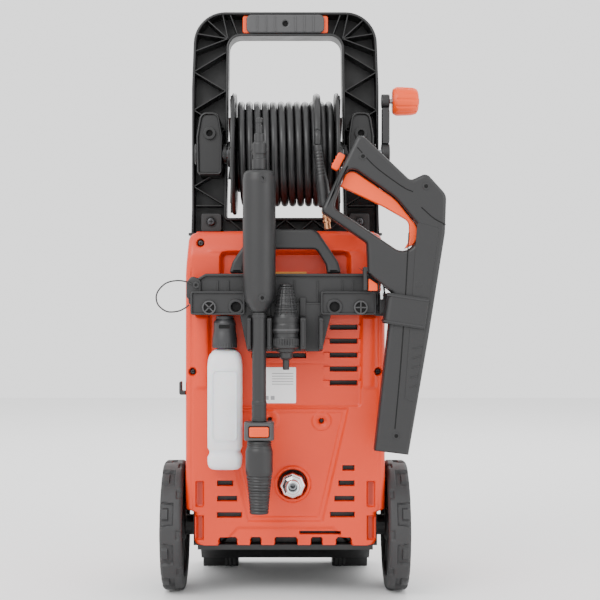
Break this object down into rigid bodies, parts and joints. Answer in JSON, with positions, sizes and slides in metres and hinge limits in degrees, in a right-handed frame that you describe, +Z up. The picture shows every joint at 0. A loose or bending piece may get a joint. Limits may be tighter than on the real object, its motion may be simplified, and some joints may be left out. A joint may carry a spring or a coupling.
{
  "type": "pressure washer",
  "caption": "Upright electric pressure washer with wheels, push handle, hose reel, and a rear holder for spray gun, lance, spare nozzle and detergent bottle.",
  "frame": {"origin": "on the floor, under the middle of the footprint of the whole machine without its hose and wire loop", "axes": "+Z up; -Y is the rear, where the accessories hang; +X is to the right seen from the rear; the wheels and the reel turn about X"},
  "size_m": [0.4238, 0.3862, 0.8996],
  "materials": {
    "orange_plastic": "satin moulded orange plastic with a fine grain",
    "bright_orange_plastic": "lighter orange moulded plastic of the controls",
    "black_plastic": "black moulded plastic, satin with a fine grain",
    "grey_plastic": "dark grey moulded plastic with a fine grain",
    "nozzle_plastic": "black ribbed nozzle plastic",
    "wheel_plastic": "dark grey hard wheel plastic, matt",
    "rubber": "black hose rubber with a soft sheen",
    "bottle_plastic": "milky translucent blow-moulded plastic",
    "white_plastic": "smooth off-white plastic",
    "steel": "zinc-plated steel",
    "chrome": "bright chromed metal",
    "brass": "machined brass",
    "aluminium": "die-cast aluminium"
  },
  "bodies": {
    "root": {"base_tray": "black_plastic", "foot_left": "rubber", "foot_right": "rubber", "wheel_axle": "steel", "rear_cover": "orange_plastic", "front_cover": "orange_plastic", "front_panel": "black_plastic", "switch_box": "black_plastic", "pump_head": "aluminium", "motor_stator": "steel", "capacitor": "white_plastic", "water_inlet": "chrome", "pressure_outlet": "brass", "cable_gland": "black_plastic", "handle_frame": "black_plastic", "handle_screw_left": "steel", "handle_screw_right": "steel", "grip_core": "bright_orange_plastic", "grip_rear": "grey_plastic", "reel_bracket_left": "black_plastic", "reel_bracket_right": "black_plastic", "hose_tail": "rubber", "hose_sleeve": "rubber", "hose_fitting": "brass", "accessory_holder": "grey_plastic", "carry_arch": "grey_plastic", "gun_ring": "grey_plastic", "cord_hook": "black_plastic", "retaining_loop": "black_plastic"},
    "wheel_left": {"wheel_left": "wheel_plastic", "hub_cap_left": "black_plastic"},
    "wheel_right": {"wheel_right": "wheel_plastic", "hub_cap_right": "black_plastic"},
    "reel": {"reel_axle": "steel", "reel_drum": "black_plastic", "reel_flange_left": "black_plastic", "reel_flange_right": "black_plastic", "crank_arm": "black_plastic", "hose_winding": "rubber"},
    "crank_knob": {"crank_knob": "bright_orange_plastic"},
    "motor": {"motor_rotor": "steel", "cooling_fan": "black_plastic"},
    "gun": {"gun_body": "grey_plastic", "gun_nipple": "chrome"},
    "gun_trigger": {"gun_trigger": "bright_orange_plastic"},
    "gun_lock": {"gun_lock": "bright_orange_plastic"},
    "gun_release": {"gun_release": "bright_orange_plastic"},
    "lance": {"lance_connector": "nozzle_plastic", "lance_grip": "grey_plastic", "lance_tube": "grey_plastic", "lance_collar": "grey_plastic"},
    "lance_button": {"lance_button": "bright_orange_plastic"},
    "vario_nozzle": {"vario_nozzle": "nozzle_plastic"},
    "rotary_nozzle": {"rotary_nozzle": "nozzle_plastic"},
    "bottle": {"bottle": "bottle_plastic", "bottle_cap": "grey_plastic"},
    "switch_knob": {"switch_knob": "bright_orange_plastic"}
  },
  "joints": [
    {"name": "wheel_left_spin", "type": "hinge", "parent": "root", "child": "wheel_left", "pos_m": [-0.19137, -0.03915, 0.1], "axis": [1, 0, 0], "continuous": true},
    {"name": "wheel_right_spin", "type": "hinge", "parent": "root", "child": "wheel_right", "pos_m": [0.14963, -0.03915, 0.1], "axis": [1, 0, 0], "continuous": true},
    {"name": "reel_spin", "type": "hinge", "parent": "root", "child": "reel", "pos_m": [-0.02087, -0.04115, 0.674], "axis": [1, 0, 0], "continuous": true},
    {"name": "crank_knob_spin", "type": "hinge", "parent": "reel", "child": "crank_knob", "pos_m": [0.16413, -0.04115, 0.756], "axis": [1, 0, 0], "continuous": true},
    {"name": "motor_spin", "type": "hinge", "parent": "root", "child": "motor", "pos_m": [-0.02087, 0.03085, 0.34], "axis": [0, 0, 1], "continuous": true},
    {"name": "gun_lift", "type": "slide", "parent": "root", "child": "gun", "axis": [0.1478, 0, 0.989], "range_m": [0, 0.26]},
    {"name": "trigger_pull", "type": "hinge", "parent": "gun", "child": "gun_trigger", "pos_m": [0.16213, -0.16915, 0.54], "axis": [0, 1, 0], "range_deg": [0, 6], "stiffness_Nm_per_rad": 4, "springref_deg": -5.73},
    {"name": "gun_lock_press", "type": "slide", "parent": "gun", "child": "gun_lock", "axis": [0.8862, 0, -0.4633], "range_m": [0, 0.003], "stiffness_N_per_m": 400, "springref_m": -0.002},
    {"name": "gun_release_press", "type": "slide", "parent": "gun", "child": "gun_release", "axis": [0.5699, 0, 0.8217], "range_m": [0, 0.002], "stiffness_N_per_m": 400, "springref_m": -0.002},
    {"name": "lance_pull", "type": "slide", "parent": "root", "child": "lance", "axis": [0, -1, 0], "range_m": [0, 0.09]},
    {"name": "lance_button_press", "type": "slide", "parent": "lance", "child": "lance_button", "axis": [0, 1, 0], "range_m": [0, 0.0025], "stiffness_N_per_m": 400, "springref_m": -0.002},
    {"name": "nozzle_twist", "type": "hinge", "parent": "lance", "child": "vario_nozzle", "pos_m": [-0.05887, -0.16915, 0.19], "axis": [0, 0, 1], "range_deg": [-60, 60]},
    {"name": "rotary_nozzle_pull", "type": "slide", "parent": "root", "child": "rotary_nozzle", "axis": [0, -1, 0], "range_m": [0, 0.06]},
    {"name": "bottle_pull", "type": "slide", "parent": "root", "child": "bottle", "axis": [0, -1, 0], "range_m": [0, 0.07]},
    {"name": "switch_turn", "type": "hinge", "parent": "root", "child": "switch_knob", "pos_m": [-0.02087, 0.17085, 0.275], "axis": [0, 1, 0], "range_deg": [0, 90]}
  ]
}
